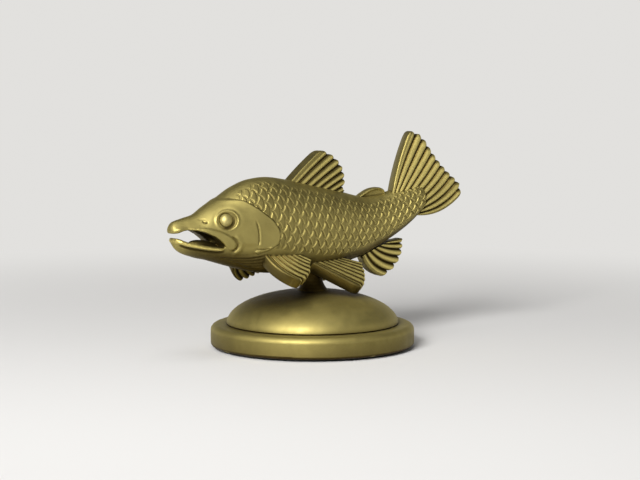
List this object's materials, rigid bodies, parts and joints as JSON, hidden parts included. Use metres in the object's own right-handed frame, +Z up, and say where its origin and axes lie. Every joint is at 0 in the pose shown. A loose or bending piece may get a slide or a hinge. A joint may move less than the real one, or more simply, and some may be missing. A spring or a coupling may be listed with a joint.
{
  "type": "fish figurine",
  "caption": "Cast fish ornament with scales, ray fins and an open mouth, on a short post over a domed round base.",
  "frame": {"origin": "centre of the felt's resting face", "axes": "+Z up, the head points to -X and the tail to +X, the fish's left side faces -Y"},
  "size_m": [0.1314, 0.08, 0.0843],
  "materials": {
    "fish_brass": "satin cast brass, lightly burnished",
    "fin_brass": "satin cast brass, lightly burnished",
    "eye_brass": "satin turned brass",
    "base_brass": "satin turned brass",
    "steel": "zinc plated",
    "felt": "wool felt"
  },
  "bodies": {
    "root": {"fish_body": "fish_brass", "left_eye": "eye_brass", "right_eye": "eye_brass", "dorsal_fin": "fin_brass", "adipose_fin": "fin_brass", "tail_fin": "fin_brass", "anal_fin": "fin_brass", "left_pectoral_fin": "fin_brass", "right_pectoral_fin": "fin_brass", "left_pelvic_fin": "fin_brass", "right_pelvic_fin": "fin_brass", "support_post": "base_brass", "base_dome": "base_brass", "base_plinth": "base_brass", "dome_dowels": "steel", "tie_rod": "steel", "rod_washer": "steel", "rod_nut": "steel", "felt_pad": "felt"}
  },
  "joints": []
}
